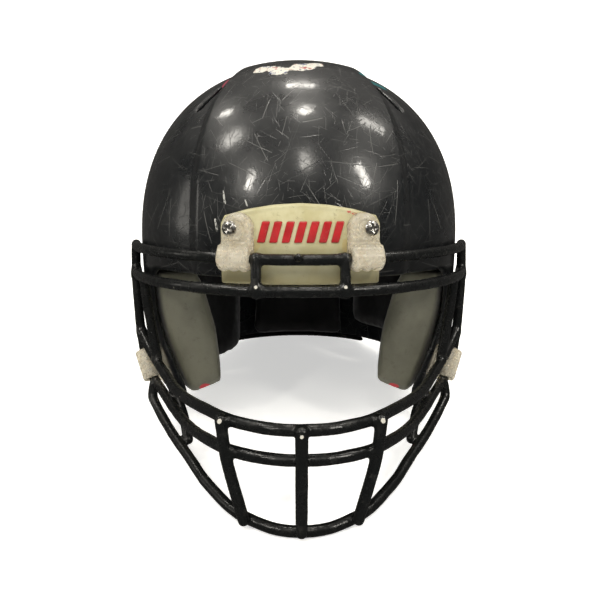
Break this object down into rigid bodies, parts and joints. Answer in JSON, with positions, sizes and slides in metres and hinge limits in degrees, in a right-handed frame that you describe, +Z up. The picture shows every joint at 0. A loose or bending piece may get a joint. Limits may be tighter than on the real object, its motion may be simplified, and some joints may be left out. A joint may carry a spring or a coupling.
{
  "type": "american football helmet",
  "caption": "Hard shell with a padded liner, a welded wire face mask on clear straps, a brow bumper and snap-in jaw pads.",
  "frame": {"origin": "on the floor under the middle of the helmet's box, as it stands on its chin bar and rear edge", "axes": "+Z up, the face opening towards -Y, +X at the wearer's left"},
  "size_m": [0.2438, 0.3662, 0.2525],
  "materials": {
    "shell": "gloss",
    "bumper_vinyl": "satin",
    "emblem_red": "satin",
    "trim_black": "satin",
    "mask_coating": "satin",
    "clip_clear": "gloss",
    "valve_rubber": "matte",
    "jaw_pad_vinyl": "matte",
    "liner_vinyl": "matte",
    "snap_brass": "satin",
    "fastener_steel": "satin"
  },
  "bodies": {
    "helmet": {"back_pad": "liner_vinyl", "bumper_emblem": "emblem_red", "chin_strap_studs": "fastener_steel", "chin_stud_tee_nuts": "fastener_steel", "crown_pad": "liner_vinyl", "front_bumper": "bumper_vinyl", "front_pad": "liner_vinyl", "left_inflation_valve": "valve_rubber", "left_jaw_studs": "snap_brass", "left_rear_pad": "liner_vinyl", "left_side_clip": "clip_clear", "left_temple_pad": "liner_vinyl", "left_top_clip": "clip_clear", "mask_brow_bar": "mask_coating", "mask_centre_upright": "mask_coating", "mask_chin_bar": "mask_coating", "mask_left_inner_bar": "mask_coating", "mask_left_link": "mask_coating", "mask_left_side_bar": "mask_coating", "mask_left_stub": "mask_coating", "mask_left_upright": "mask_coating", "mask_lip_bar": "mask_coating", "mask_nose_bar": "mask_coating", "mask_right_inner_bar": "mask_coating", "mask_right_link": "mask_coating", "mask_right_side_bar": "mask_coating", "mask_right_stub": "mask_coating", "mask_right_upright": "mask_coating", "mask_top_bar": "mask_coating", "nape_pad": "liner_vinyl", "rear_bumper": "trim_black", "rear_bumper_screws": "fastener_steel", "rear_tee_nuts": "fastener_steel", "right_inflation_valve": "valve_rubber", "right_jaw_studs": "snap_brass", "right_rear_pad": "liner_vinyl", "right_side_clip": "clip_clear", "right_temple_pad": "liner_vinyl", "right_top_clip": "clip_clear", "shell": "shell", "side_clip_screws": "fastener_steel", "side_tee_nuts": "fastener_steel", "top_clip_screws": "fastener_steel", "top_tee_nuts": "fastener_steel"},
    "left_jaw_pad_body": {"left_jaw_pad": "jaw_pad_vinyl", "left_jaw_sockets": "snap_brass"},
    "right_jaw_pad_body": {"right_jaw_pad": "jaw_pad_vinyl", "right_jaw_sockets": "snap_brass"}
  },
  "joints": [
    {"name": "left_jaw_pad_pull", "type": "slide", "parent": "helmet", "child": "left_jaw_pad_body", "axis": [-1, 0, 0], "range_m": [0, 0.03]},
    {"name": "right_jaw_pad_pull", "type": "slide", "parent": "helmet", "child": "right_jaw_pad_body", "axis": [1, 0, 0], "range_m": [0, 0.03]}
  ]
}
